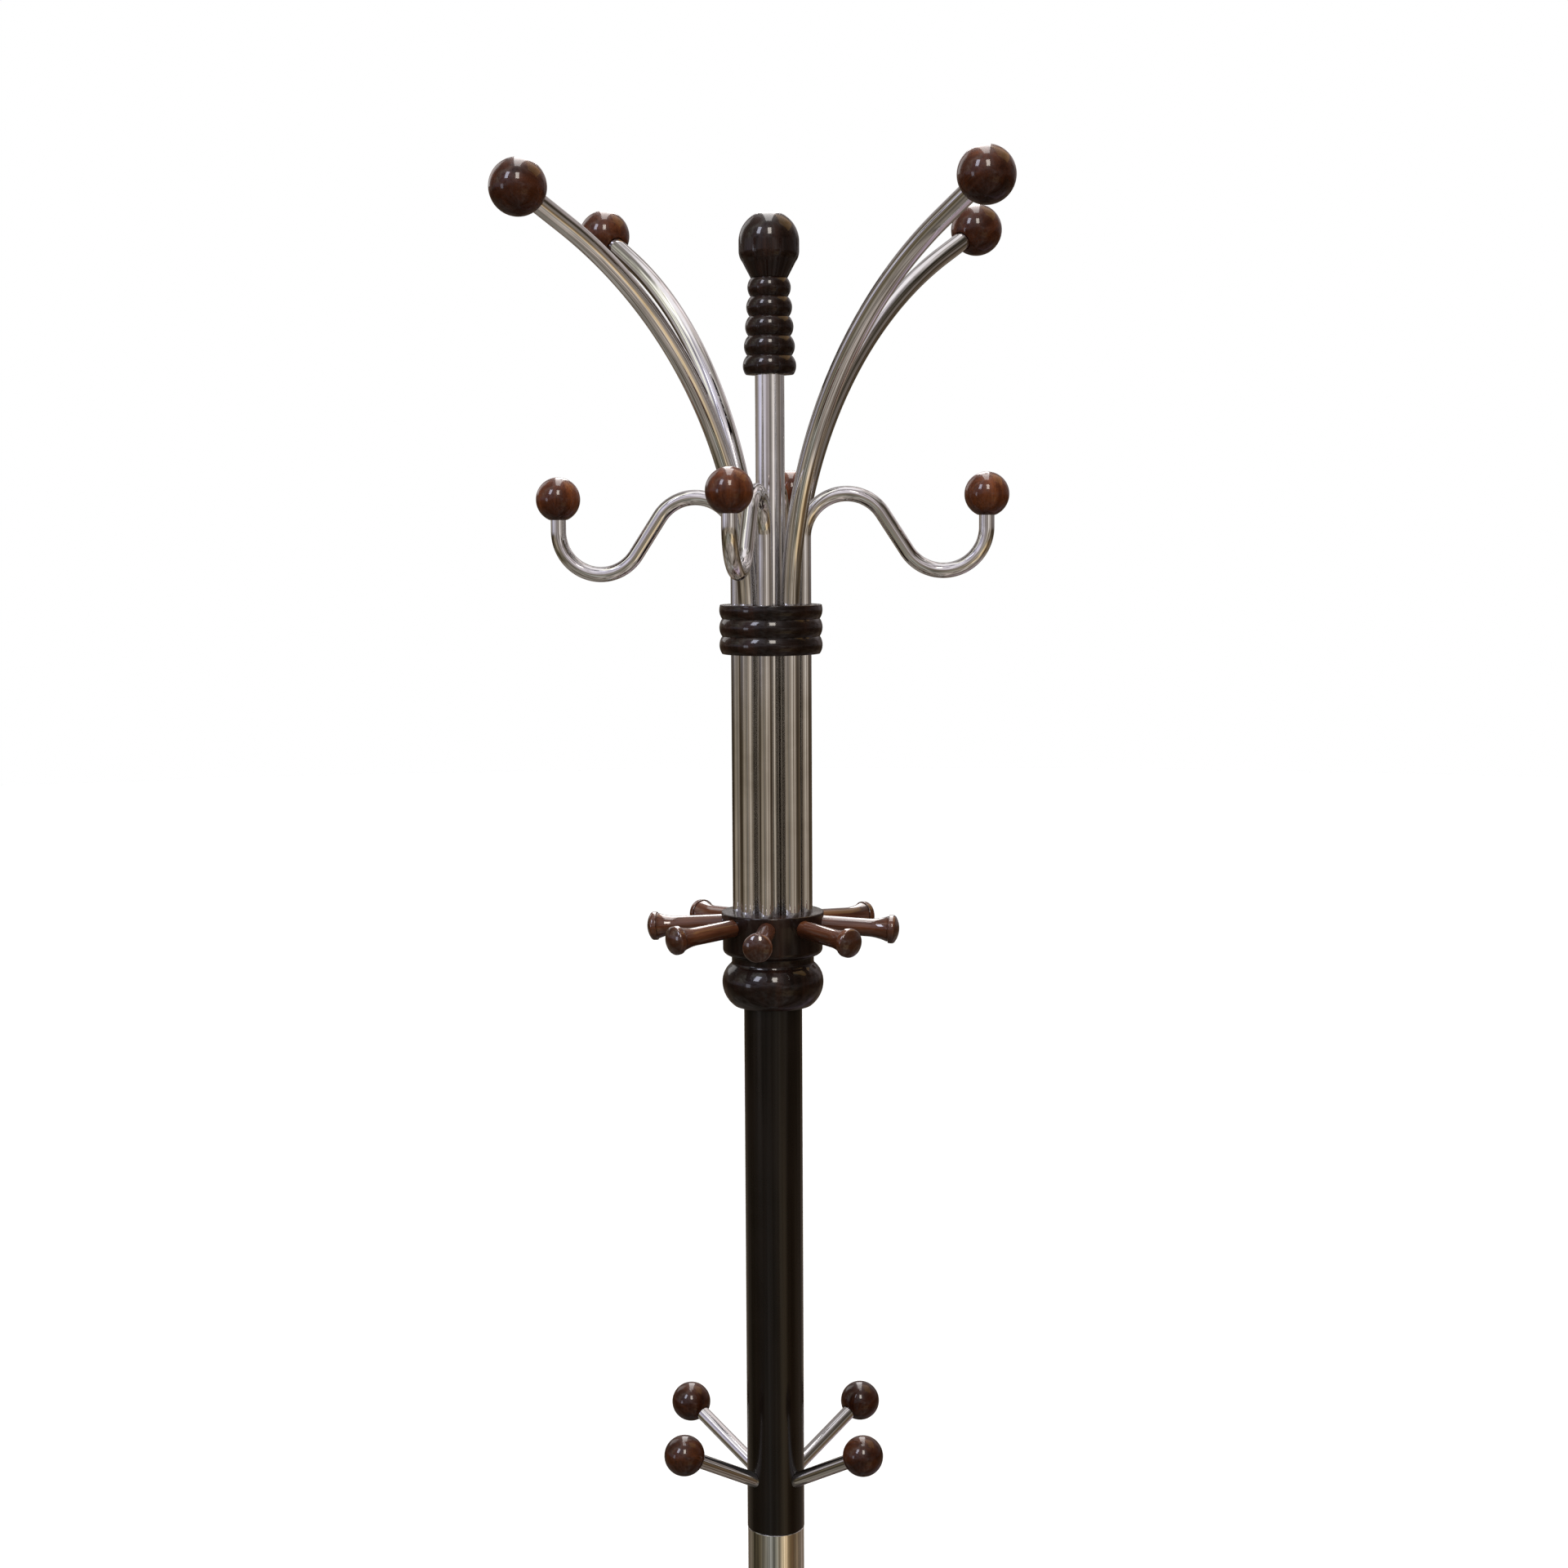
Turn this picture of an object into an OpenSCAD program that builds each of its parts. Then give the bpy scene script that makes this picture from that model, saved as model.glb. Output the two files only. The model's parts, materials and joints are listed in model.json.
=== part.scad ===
// Standing coat rack: a chromed column on a round stone base, with curved arms, S hooks, pegs and low hooks.
// Millimetres, +Z up. The origin is on the column's axis, at the floor.
// A bearing is an angle about the column: 0 points along -Y, and a positive bearing turns towards +X.

/* [Base] */
// Diameter of the stone disc
base_d = 380; // [340:5:420]
// Thickness of the stone disc
base_h = 31; // [28:1:40]
// Gap that the rubber feet leave under the stone disc
foot_gap = 5; // [4:0.5:6]
// Diameter of each rubber foot
foot_d = 32; // [24:1:36]
// Diameter of the chromed flange on the stone
flange_d = 112; // [108:1:130]
// Height of the chromed flange
flange_h = 19; // [17:1:20]
// Diameter of the wooden collar at the pole's foot
foot_collar_d = 60; // [58:1:64]
// Height of the wooden collar at the pole's foot
foot_collar_h = 24; // [22:1:28]

/* [Poles] */
// Outer diameter of the chromed lower pole
pole_d = 38; // [37.6:0.1:38.2]
// Outer diameter of the dark upper pole
upper_pole_d = 38.5; // [38.3:0.1:39]
// Wall of both poles
pole_wall = 1.2; // [1:0.1:1.6]
// Length of the lower pole
lower_pole_l = 870; // [820:5:900]
// Length of the upper pole
upper_pole_l = 359; // [340:1:400]
// Outer diameter of the chromed centre pole
centre_pole_d = 19; // [18:0.5:19.5]
// Length of centre pole seen between the peg hub and the finial
centre_pole_reach = 350; // [330:5:360]

/* [Bundle] */
// Outer diameter of the arm tubes
arm_d = 12.5; // [12:0.5:13]
// Diameter of the S hook rods
hook_d = 10; // [9:0.5:10]
// Distance from the column's axis to each arm tube in the bundle
arm_r = 18.5; // [18.3:0.1:18.7]
// Distance from the column's axis to each S hook rod in the bundle
hook_r = 21.4; // [21.2:0.1:21.6]
// Length of bundle seen between the peg hub and the upper collar
bundle_gap = 170; // [150:5:190]
// Height of the upper collar
collar_h = 32; // [30:1:36]
// Diameter of the upper collar
collar_d = 67.4; // [66:0.2:70]

/* [Arms] */
// Radius of the bend in each arm, on its centre line
arm_bend_r = 282; // [270:2:290]
// Angle that each arm bends through
arm_bend = 59; // [56:1:62]
// Straight run from the bend to the middle of the ball
arm_tail = 37; // [34:1:42]
// Diameter of the balls on the arms
arm_ball_d = 35; // [32:1:38]

/* [S hooks] */
// Radius of both bends in each S hook, on its centre line
hook_bend_r = 28; // [27:0.5:30]
// Slope of the falling run between the two bends
hook_slope = 57; // [52:1:60]
// Length of the falling run between the two bends
hook_fall = 29; // [26:1:32]
// Height of the first bend above the upper collar
hook_rise = 43; // [40:1:48]
// Straight run from the second bend up to the middle of the ball
hook_tail = 21; // [19:1:24]
// Diameter of the balls on the S hooks
hook_ball_d = 29; // [27:1:31]

/* [Low hooks] */
// Diameter of the low hook rods
low_hook_d = 9.5; // [8:0.5:10]
// Tilt of the low hooks above level
low_hook_tilt = 28.5; // [27:0.5:32]
// Distance from the column's axis to the middle of each low ball
low_ball_r = 77.5; // [75:0.5:82]
// Height of the low balls above the foot of the upper pole
low_ball_rise = 68.5; // [66:0.5:72]
// Diameter of the low balls
low_ball_d = 26.5; // [25:0.5:29]

/* [Peg hub] */
// Diameter of the hub's drum
drum_d = 67.6; // [67:0.2:70]
// Distance from the column's axis to the tip of each peg
peg_reach = 83.5; // [78:0.5:86]
// Diameter of a peg's shaft
peg_d = 11.8; // [11:0.2:12]
// Slope of the pegs below level
peg_droop = 3.4; // [0:0.2:4]
// Diameter of a peg's head
peg_head_d = 18.8; // [18:0.2:19.6]

/* [Finial] */
// Diameter of the finial's acorn
acorn_d = 39; // [37:0.2:40]
// Diameter of the lowest rib
grip_d = 34.5; // [33:0.5:35]
// Loss of rib radius from each rib to the one above it
rib_taper = 0.82; // [0.7:0.02:0.9]

/* [Hidden] */
$fn = 96;

// Bearings round the column. Arms and S hooks are set by hand at assembly, so they aren't quite square.
arm_bearings = [-53, 42, 130, 218];
hook_bearings = [-10, 87, 174, 263];
low_hook_bearings = [-50.5, 47.5, 130.5, 229];
peg_bearings = [for (i = [0:7]) -7 + 45 * i];

// Extra length of each arm's tail, and extra height of each S hook, also left by the hand work
arm_extra = [0, 4, 0, 0];
hook_extra = [2, 0.5, 4.5, -1.5];

// Fits
slip = 0.15;        // radial clearance of a tube, rod or screw in its hole
seat = 0.1;         // gap left between two faces that meet end to end
lap = 0.8;          // length that a straight run goes on inside a bend
lap_step = 0.04;    // a run is this much slimmer than its bend, so that the two surfaces never coincide
over = 1;           // length that a cutting shape runs past the piece it cuts

// Hidden hardware
arm_wall = 1.2;
column_screw_d = 10;
finial_screw_d = 8;
ball_screw_d = 6;
ball_screw_l = 13;
finial_screw_l = 18;
plug_l = 20;        // plugs in the ends of the small tubes
pole_plug_l = 32;   // plugs in the ends of the poles
low_hook_foot_r = 9; // distance from the column's axis to the inner end of each low hook
joiner_reach = 50;  // length of the joiner in each pole
socket_depth = 26;  // depth of the bundle in the peg hub
tenon_l = 6;        // depth of a peg in the hub
ball_socket = 7;    // depth of a tube or rod in its ball
finial_socket = 12; // depth of the centre pole in the finial
bolt_d = 12;
bolt_across_flats = 19;
bolt_head_h = 7.5;
washer_d = 34;
washer_h = 2.5;
bolt_recess_d = 42;
bolt_recess_h = 14;
foot_circle_r = 150;
foot_recess_h = 3;

// Turned shapes
hub_h = 62.5;
drum_edge_r = 4;    // rounding at the drum's lower edge
drum_foot = 34;     // height of the drum's underside in the hub
hub_neck_r = 27.2;
bulb_d = 67;        // diameter of the bulb at its widest
bulb_h = 15.6;      // height of the bulb's widest place in the hub
bulb_low_r = 19.5;  // radius of the bulb's curve below that place
bulb_high_r = 15.5; // radius of the bulb's curve above it
neck_fillet_r = 3;  // hollow between the bulb and the neck
peg_drop = 8.5;     // from the drum's rim down to the pegs, where they leave the drum
collar_roll_r = 10;
collar_roll_pitch = 11.4;
rib_count = 5;
rib_pitch = 12.45;
rib_r = 9.4;
rib_foot = 5.5;     // height of the lowest rib's middle
finial_neck = [12.2, 61.2];
acorn_edge_r = 12;  // rounding at the acorn's widest place
acorn_edge_h = 78.5;
acorn_middle = 84.3;

// Levels, from the floor up
base_top = foot_gap + base_h;
joint_z = base_top + seat + lower_pole_l;
hub_z = joint_z + upper_pole_l + 2 * seat;
hub_top = hub_z + hub_h;
socket_z = hub_top - socket_depth;
collar_z = hub_top + bundle_gap;
collar_top = collar_z + collar_h;
arm_bend_z = collar_top - 8;
low_ball_z = joint_z + low_ball_rise;
finial_z = hub_top + centre_pole_reach;
finial_h = acorn_middle + acorn_d / 2;

// Height of the first bend of S hook i
function hook_bend_z(i) = collar_top + hook_rise + hook_extra[i - 1];

// Straight run from the bend to the middle of the ball on arm i
function tail(i) = arm_tail + arm_extra[i - 1];

// Radii inside the tubes
pole_bore_r = pole_d / 2 - pole_wall;
upper_bore_r = upper_pole_d / 2 - pole_wall;
centre_bore_r = centre_pole_d / 2 - arm_wall;

// Colours
chrome = [0.78, 0.77, 0.74];
dark_wood = [0.13, 0.08, 0.06];
ball_wood = [0.26, 0.11, 0.07];
peg_wood = [0.42, 0.20, 0.12];
steel = [0.55, 0.55, 0.57];
stone = [0.10, 0.10, 0.11];
rubber = [0.06, 0.06, 0.06];

// ---------- shared shapes ----------

// Turns a piece whose outward direction is +X to its bearing
module at_bearing(b) {
    rotate([0, 0, b - 90]) children();
}

// A bend that starts at the origin going up and leans towards +X through the angle a
module bend(r_bend, a, r) {
    translate([r_bend, 0, 0]) rotate([90, 0, 0]) rotate([0, 0, 180 - a])
        rotate_extrude(angle = a) translate([r_bend, 0]) circle(r = r);
}

// Moves on to the end of such a bend, and turns to its direction
module after_bend(r_bend, a) {
    translate([r_bend * (1 - cos(a)), 0, r_bend * sin(a)]) rotate([0, a, 0]) children();
}

// A straight run of length l going up. It is lapped into a bend at each end where before or after is lap.
module run(l, r, before = lap, after = lap) {
    translate([0, 0, -before]) cylinder(h = before + l + after, r = r - lap_step);
}

// A round bar, or a tube where r_in isn't 0
module bar(h, r, r_in = 0) {
    difference() {
        cylinder(h = h, r = r);
        if (r_in > 0) translate([0, 0, -over]) cylinder(h = h + 2 * over, r = r_in);
    }
}

// Turns the part of an outline that lies at x > 0 and between y = 0 and y = h
module turned(h) {
    rotate_extrude() intersection() {
        square([base_d, h]);
        children();
    }
}

// The outline of a stack of equal rolls
module rolls(count, pitch, r_max, r_roll) {
    square([r_max - 0.6 * r_roll, count * pitch]);
    for (i = [0:count - 1]) translate([r_max - r_roll, (i + 0.5) * pitch]) circle(r = r_roll);
}

// A ball about the origin, bored from below for its rod and for the screw beyond it
module ball(d, rod_d) {
    rod_end = ball_socket - d / 2;
    difference() {
        sphere(d = d);
        translate([0, 0, -d]) cylinder(h = d + rod_end + seat, d = rod_d + 2 * slip);
        translate([0, 0, -d]) cylinder(h = d + rod_end + ball_screw_l + seat, d = ball_screw_d + 2 * slip);
    }
}

// Places children at the middle of a ball, turned so that the rod comes from below
module at_arm_ball(i) {
    at_bearing(arm_bearings[i - 1]) translate([arm_r, 0, arm_bend_z])
        after_bend(arm_bend_r, arm_bend) translate([0, 0, tail(i)]) children();
}

// Moves on from an S hook's first bend to the start of its second, which turns back outwards
module after_fall(i) {
    translate([hook_r, 0, hook_bend_z(i)]) after_bend(hook_bend_r, 90 + hook_slope)
        translate([0, 0, hook_fall]) mirror([1, 0, 0]) children();
}

module at_hook_ball(i) {
    at_bearing(hook_bearings[i - 1]) after_fall(i) after_bend(hook_bend_r, 90 + hook_slope)
        translate([0, 0, hook_tail]) children();
}

module at_low_ball(i) {
    at_bearing(low_hook_bearings[i - 1]) translate([low_ball_r, 0, low_ball_z])
        rotate([0, 90 - low_hook_tilt, 0]) children();
}

// ---------- base ----------

module base_disc() {
    edge_r = 9;
    color(stone) difference() {
        translate([0, 0, foot_gap]) turned(base_h) {
            square([base_d / 2 - edge_r, base_h]);
            square([base_d / 2, base_h - edge_r]);
            translate([base_d / 2 - edge_r, base_h - edge_r]) circle(r = edge_r);
        }
        cylinder(h = base_top + over, d = bolt_d + 1);
        cylinder(h = foot_gap + bolt_recess_h, d = bolt_recess_d);
        at_feet() cylinder(h = foot_gap + foot_recess_h, d = foot_d + 4 * slip);
    }
}

module at_feet() {
    for (b = [45:90:315]) rotate([0, 0, b]) translate([foot_circle_r, 0, 0]) children();
}

module rubber_feet() {
    color(rubber) at_feet() cylinder(h = foot_gap + foot_recess_h - seat, d = foot_d);
}

module base_washer() {
    color(steel) translate([0, 0, foot_gap + bolt_recess_h - seat - washer_h])
        bar(washer_h, washer_d / 2, bolt_d / 2 + 0.5);
}

module base_bolt() {
    head_z = foot_gap + bolt_recess_h - washer_h - 2 * seat - bolt_head_h;
    shank_z = head_z + bolt_head_h / 2;
    color(steel) {
        translate([0, 0, head_z]) cylinder(h = bolt_head_h, d = bolt_across_flats / cos(30), $fn = 6);
        translate([0, 0, shank_z]) cylinder(h = base_top + pole_plug_l - shank_z, d = bolt_d);
    }
}

module foot_plug() {
    color(steel) translate([0, 0, base_top + seat]) bar(pole_plug_l, pole_bore_r - seat, bolt_d / 2 + slip);
}

module base_flange() {
    lip_h = 3;
    lip_r = 1.7;
    lip_w = 6;
    cove_r = flange_h + 2.5;
    cove_x = flange_d / 2 - lip_w;
    color(chrome) translate([0, 0, base_top + seat]) difference() {
        turned(flange_h) {
            translate([flange_d / 2 - lip_r, lip_h / 2]) circle(r = lip_r);
            square([flange_d / 2 - lip_r, lip_h]);
            difference() {
                square([cove_x, flange_h]);
                translate([cove_x, lip_h - 0.5 + cove_r]) circle(r = cove_r);
            }
        }
        translate([0, 0, -over]) cylinder(h = flange_h + 2 * over, r = pole_d / 2 + slip);
    }
}

module foot_collar() {
    roll_count = 3;
    roll_r = 5.6;
    color(dark_wood) translate([0, 0, base_top + 2 * seat + flange_h]) difference() {
        turned(foot_collar_h) rolls(roll_count, foot_collar_h / roll_count, foot_collar_d / 2, roll_r);
        translate([0, 0, -over]) cylinder(h = foot_collar_h + 2 * over, r = pole_d / 2 + slip);
    }
}

// ---------- poles ----------

module lower_pole() {
    color(chrome) translate([0, 0, base_top + seat]) bar(lower_pole_l, pole_d / 2, pole_bore_r);
}

// The joiner fills both poles where they meet, and the low hooks screw into its upper half
module pole_joiner() {
    color(steel) difference() {
        union() {
            translate([0, 0, joint_z - joiner_reach])
                cylinder(h = joiner_reach + over, r = pole_bore_r - seat);
            translate([0, 0, joint_z + seat]) cylinder(h = joiner_reach, r = upper_bore_r - seat);
        }
        low_hook_holes();
    }
}

module upper_pole() {
    color(dark_wood) difference() {
        translate([0, 0, joint_z + seat]) bar(upper_pole_l, upper_pole_d / 2, upper_bore_r);
        low_hook_holes();
    }
}

module pole_top_plug() {
    color(steel) translate([0, 0, hub_z - seat - pole_plug_l])
        bar(pole_plug_l, upper_bore_r - seat, column_screw_d / 2 + slip);
}

// The stud pulls the upper pole, the hub and the centre pole together
module hub_stud() {
    foot = hub_z - pole_plug_l + 4;
    color(steel) translate([0, 0, foot]) cylinder(h = socket_z + plug_l - 2 - foot, d = column_screw_d);
}

// ---------- low hooks ----------

// Length from the rod's inner end to the middle of the ball
function low_hook_l() = (low_ball_r - low_hook_foot_r) / cos(low_hook_tilt);

module low_hook_holes() {
    for (i = [1:4]) at_low_ball(i) translate([0, 0, -low_hook_l() - seat])
        cylinder(h = low_hook_l(), d = low_hook_d + 2 * slip);
}

module low_hook(i) {
    rod_end = ball_socket - low_ball_d / 2;
    color(chrome) at_low_ball(i) {
        translate([0, 0, -low_hook_l()]) cylinder(h = low_hook_l() + rod_end, d = low_hook_d);
        translate([0, 0, rod_end]) tip_screw();
    }
}

// The screw on the end of a rod, which holds the rod's ball
module tip_screw() {
    translate([0, 0, -over]) cylinder(h = ball_screw_l + over, d = ball_screw_d);
}

module low_hook_ball(i) {
    color(ball_wood) at_low_ball(i) ball(low_ball_d, low_hook_d);
}

// ---------- peg hub and pegs ----------

// A drum over a bulb, with a neck between them that is hollowed where it meets the bulb
module peg_hub() {
    drum_r = drum_d / 2;
    bulb_r = bulb_d / 2;
    fillet_x = hub_neck_r + neck_fillet_r;
    fillet_y = bulb_h + sqrt(pow(bulb_high_r + neck_fillet_r, 2) - pow(fillet_x - bulb_r + bulb_high_r, 2));
    drum_taper = 0.8;
    drum_waist_h = 44.5;
    rim_edge = 0.6;
    color(dark_wood) difference() {
        translate([0, 0, hub_z]) turned(hub_h) {
            square([bulb_r - bulb_low_r + 6, bulb_h]);
            intersection() {
                translate([bulb_r - bulb_low_r, bulb_h]) circle(r = bulb_low_r);
                square([bulb_r, bulb_h]);
            }
            intersection() {
                translate([bulb_r - bulb_high_r, bulb_h]) circle(r = bulb_high_r);
                translate([0, bulb_h]) square([bulb_r, bulb_high_r]);
            }
            difference() {
                polygon([[0, bulb_h], [bulb_r - bulb_high_r, bulb_h], [fillet_x, fillet_y], [0, fillet_y]]);
                translate([fillet_x, fillet_y]) circle(r = neck_fillet_r);
            }
            translate([0, bulb_h]) square([hub_neck_r, drum_foot + drum_edge_r - bulb_h]);
            translate([drum_r - drum_taper - drum_edge_r, drum_foot + drum_edge_r]) circle(r = drum_edge_r);
            polygon([[0, drum_foot + drum_edge_r], [drum_r - drum_taper, drum_foot + drum_edge_r],
                     [drum_r - drum_taper, drum_waist_h], [drum_r, hub_h - rim_edge],
                     [drum_r - rim_edge, hub_h], [0, hub_h]]);
        }
        bundle_holes(socket_z, socket_depth + over);
        translate([0, 0, hub_z - over]) cylinder(h = hub_h, r = column_screw_d / 2 + slip);
        for (b = peg_bearings) at_peg(b) cylinder(h = peg_reach, r = peg_d / 2 + slip);
    }
}

// Holes of height h, from z up, for the centre pole, the arms and the S hooks
module bundle_holes(z, h) {
    translate([0, 0, z]) {
        cylinder(h = h, r = centre_pole_d / 2 + slip);
        for (b = arm_bearings) at_bearing(b) translate([arm_r, 0, 0])
            cylinder(h = h, r = arm_d / 2 + slip);
        for (b = hook_bearings) at_bearing(b) translate([hook_r, 0, 0])
            cylinder(h = h, r = hook_d / 2 + slip);
    }
}

// Places children at the bottom of a peg's hole, turned so that +Z runs out along the peg
module at_peg(b) {
    at_bearing(b) translate([drum_d / 2, 0, hub_top - peg_drop]) rotate([0, 90 + peg_droop, 0])
        translate([0, 0, -tenon_l]) children();
}

// A peg turned on its own axis: a plain shaft that flares to a head with a rounded rim and a domed face
module peg(i) {
    peg_l = (peg_reach - drum_d / 2) / cos(peg_droop) + tenon_l - seat;
    head_r = peg_head_d / 2;
    rim_r = 3.2;
    rim_y = peg_l - 4.9;
    dome_r = 14;
    dome_edge = 1.4;
    flare_r = 34;
    flare_y = rim_y - 16;
    color(peg_wood) at_peg(peg_bearings[i - 1]) translate([0, 0, seat]) turned(peg_l) difference() {
        union() {
            square([head_r, rim_y]);
            intersection() {
                translate([0, peg_l - dome_r]) circle(r = dome_r);
                union() {
                    translate([head_r - rim_r, rim_y]) circle(r = rim_r);
                    translate([0, rim_y - over]) square([head_r - dome_edge, peg_l]);
                }
            }
        }
        translate([peg_d / 2, -over]) square([head_r, flare_y + over]);
        translate([peg_d / 2 + flare_r, flare_y]) circle(r = flare_r);
    }
}

// ---------- centre pole and upper collar ----------

module centre_pole() {
    foot = socket_z + seat;
    color(chrome) translate([0, 0, foot])
        bar(finial_z + finial_socket - foot, centre_pole_d / 2, centre_bore_r);
}

module centre_pole_plug() {
    color(steel) translate([0, 0, socket_z + seat])
        bar(plug_l, centre_bore_r - seat, column_screw_d / 2 + slip);
}

module upper_collar() {
    roll_count = 3;
    color(dark_wood) difference() {
        translate([0, 0, collar_z]) turned(collar_h)
            rolls(roll_count, collar_roll_pitch, collar_d / 2, collar_roll_r);
        bundle_holes(collar_z - over, collar_h + 2 * over);
    }
}

// ---------- S hooks ----------

module s_hook(i) {
    rod_end = ball_socket - hook_ball_d / 2;
    foot = socket_z + seat;
    turn = 90 + hook_slope;
    color(chrome) at_bearing(hook_bearings[i - 1]) {
        translate([hook_r, 0, foot]) run(hook_bend_z(i) - foot, hook_d / 2, 0);
        translate([hook_r, 0, hook_bend_z(i)]) {
            bend(hook_bend_r, turn, hook_d / 2);
            after_bend(hook_bend_r, turn) run(hook_fall, hook_d / 2);
        }
        after_fall(i) {
            bend(hook_bend_r, turn, hook_d / 2);
            after_bend(hook_bend_r, turn) {
                run(hook_tail + rod_end, hook_d / 2, lap, 0);
                translate([0, 0, hook_tail + rod_end]) tip_screw();
            }
        }
    }
}

module s_hook_ball(i) {
    color(ball_wood) at_hook_ball(i) ball(hook_ball_d, hook_d);
}

// ---------- arms ----------

// Arm i as a solid bar of radius r, which runs on past both of its ends by the length past
module arm_core(i, r, past) {
    foot = socket_z + seat;
    translate([arm_r, 0, foot]) run(arm_bend_z - foot, r, past, lap);
    translate([arm_r, 0, arm_bend_z]) {
        bend(arm_bend_r, arm_bend, r);
        after_bend(arm_bend_r, arm_bend) run(tail(i) + ball_socket - arm_ball_d / 2, r, lap, past);
    }
}

module arm(i) {
    color(chrome) at_bearing(arm_bearings[i - 1]) difference() {
        arm_core(i, arm_d / 2, 0);
        arm_core(i, arm_d / 2 - arm_wall, over);
    }
}

module arm_ball(i) {
    color(ball_wood) at_arm_ball(i) ball(arm_ball_d, arm_d);
}

// Plugs in the open ends of the arms, each with the screw that holds a ball
module arm_ball_plugs() {
    plug_r = arm_d / 2 - arm_wall - lap_step - seat;
    arm_plug_l = 16;
    color(steel) for (i = [1:4]) at_arm_ball(i) translate([0, 0, ball_socket - arm_ball_d / 2]) {
        translate([0, 0, -arm_plug_l]) cylinder(h = arm_plug_l, r = plug_r);
        tip_screw();
    }
}

// ---------- finial ----------

module finial_plug() {
    color(steel) translate([0, 0, finial_z + finial_socket]) {
        translate([0, 0, -plug_l]) cylinder(h = plug_l, r = centre_bore_r - seat);
        translate([0, 0, -over]) cylinder(h = finial_screw_l + over, d = finial_screw_d);
    }
}

// Five ribs that narrow upwards, a cone, and an acorn with a rounded shoulder
module finial() {
    acorn_r = acorn_d / 2;
    core_foot_r = 11.5;
    core_top = [9, 58];
    cone_top = [acorn_r - 1.3, 73.1];
    color(dark_wood) translate([0, 0, finial_z]) difference() {
        turned(finial_h) {
            for (i = [0:rib_count - 1])
                translate([grip_d / 2 - rib_taper * i - rib_r, rib_foot + rib_pitch * i]) circle(r = rib_r);
            polygon([[0, 0], [core_foot_r, 0], core_top, finial_neck, cone_top, [0, acorn_edge_h]]);
            translate([acorn_r - acorn_edge_r, acorn_edge_h]) circle(r = acorn_edge_r);
            translate([0, acorn_edge_h]) square([acorn_r, acorn_middle - acorn_edge_h]);
            translate([0, acorn_middle]) circle(r = acorn_r);
        }
        translate([0, 0, -over]) cylinder(h = over + finial_socket + seat, r = centre_pole_d / 2 + slip);
        cylinder(h = finial_socket + finial_screw_l + 2 * seat, r = finial_screw_d / 2 + slip);
    }
}

// ---------- nodes ----------

base_disc();
rubber_feet();
base_bolt();
base_washer();
foot_plug();
base_flange();
foot_collar();
lower_pole();
pole_joiner();
upper_pole();
pole_top_plug();
hub_stud();
peg_hub();
for (i = [1:4]) low_hook(i);
for (i = [1:4]) low_hook_ball(i);
for (i = [1:8]) peg(i);
centre_pole();
centre_pole_plug();
upper_collar();
for (i = [1:4]) s_hook(i);
for (i = [1:4]) s_hook_ball(i);
for (i = [1:4]) arm(i);
for (i = [1:4]) arm_ball(i);
arm_ball_plugs();
finial_plug();
finial();
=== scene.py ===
"""Looks of a standing coat rack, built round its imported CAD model. Metres, +Z up, front to -Y."""
import json
import math
import random

import bmesh
import bpy
from mathutils import Matrix, Vector

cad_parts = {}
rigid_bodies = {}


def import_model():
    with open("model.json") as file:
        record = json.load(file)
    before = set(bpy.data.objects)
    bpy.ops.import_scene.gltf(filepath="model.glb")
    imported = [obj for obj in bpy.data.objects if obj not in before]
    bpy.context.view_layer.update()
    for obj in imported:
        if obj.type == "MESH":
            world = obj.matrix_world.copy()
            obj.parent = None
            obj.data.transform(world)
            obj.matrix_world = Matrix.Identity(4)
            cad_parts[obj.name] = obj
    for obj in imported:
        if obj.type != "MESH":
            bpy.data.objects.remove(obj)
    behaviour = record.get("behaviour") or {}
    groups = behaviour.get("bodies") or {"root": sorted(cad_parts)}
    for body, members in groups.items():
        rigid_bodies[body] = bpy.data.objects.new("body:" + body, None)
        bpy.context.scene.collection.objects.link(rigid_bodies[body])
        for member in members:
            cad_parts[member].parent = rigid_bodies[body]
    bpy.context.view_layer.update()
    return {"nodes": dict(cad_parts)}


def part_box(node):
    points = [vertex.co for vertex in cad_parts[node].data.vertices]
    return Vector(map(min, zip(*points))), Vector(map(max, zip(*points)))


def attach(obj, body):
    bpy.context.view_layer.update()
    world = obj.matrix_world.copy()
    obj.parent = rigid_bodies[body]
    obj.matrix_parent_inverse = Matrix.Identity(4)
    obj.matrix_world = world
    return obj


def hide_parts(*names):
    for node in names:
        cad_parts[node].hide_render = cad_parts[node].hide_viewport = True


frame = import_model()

MM = 0.001
SHARP_ANGLE = math.radians(32)  # edges that turn more than this stay sharp
MERGE_DISTANCE = 1e-7
ON_AXIS = 1e-6                  # a radius below this is a point on the axis
GRAIN_SHIFT = 0.5               # metres that the grain moves at random from piece to piece
scene = bpy.context.scene
rng = random.Random(11)


# ---------- outlines: lists of (radius, height) ----------

def arc(cx, cz, r, start, stop, count):
    """Points on a circle from the angle start to the angle stop, in degrees, both included."""
    out = []
    for k in range(count + 1):
        a = math.radians(start + (stop - start) * k / count)
        out.append((cx + r * math.cos(a), cz + r * math.sin(a)))
    return out


def line(a, b, count):
    """Points between a and b, without b."""
    dr, dz = b[0] - a[0], b[1] - a[1]
    return [(a[0] + dr * k / count, a[1] + dz * k / count) for k in range(count)]


def rolls(count, pitch, r_max, r_roll, steps=22):
    """A stack of equal rolls from height 0 up."""
    half = math.degrees(math.asin(pitch / 2 / r_roll))
    out = []
    for i in range(count):
        roll = arc(r_max - r_roll, (i + 0.5) * pitch, r_roll, -half, half, steps)
        out += roll if i == 0 else roll[1:]
    return out


# ---------- meshes ----------

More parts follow.
